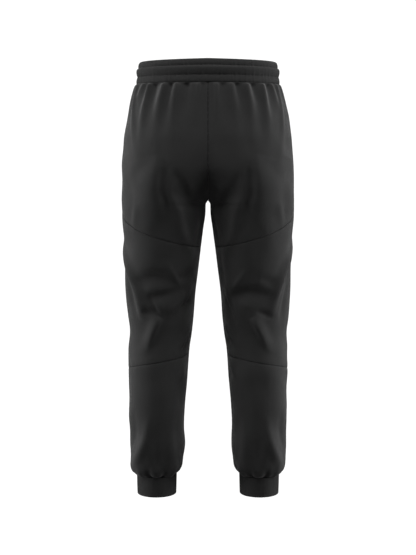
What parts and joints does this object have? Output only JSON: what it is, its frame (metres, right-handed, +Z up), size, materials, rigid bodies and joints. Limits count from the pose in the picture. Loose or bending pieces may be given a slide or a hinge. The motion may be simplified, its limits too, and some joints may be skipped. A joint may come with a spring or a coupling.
{
  "type": "jogger sweatpants",
  "caption": "Hollow worn jogger sweatpants with an elastic waistband, panelled back legs and rib cuffs.",
  "frame": {"origin": "centre of the waistband at the middle of its height, where the wearer's waist holds the garment", "axes": "+Z up; the wearer faces +Y, so the seat is towards -Y; +X is the wearer's right"},
  "size_m": [0.4006, 0.2656, 1.0138],
  "materials": {
    "body_knit": "matte, smooth double-knit jersey",
    "rib_knit": "matte, fine ribs"
  },
  "bodies": {
    "root": {"waistband": "rib_knit", "back_seat_right": "body_knit", "back_knee_right": "body_knit", "back_calf_right": "body_knit", "front_leg_right": "body_knit", "cuff_right": "rib_knit", "back_seat_left": "body_knit", "back_knee_left": "body_knit", "back_calf_left": "body_knit", "front_leg_left": "body_knit", "cuff_left": "rib_knit"}
  },
  "joints": []
}
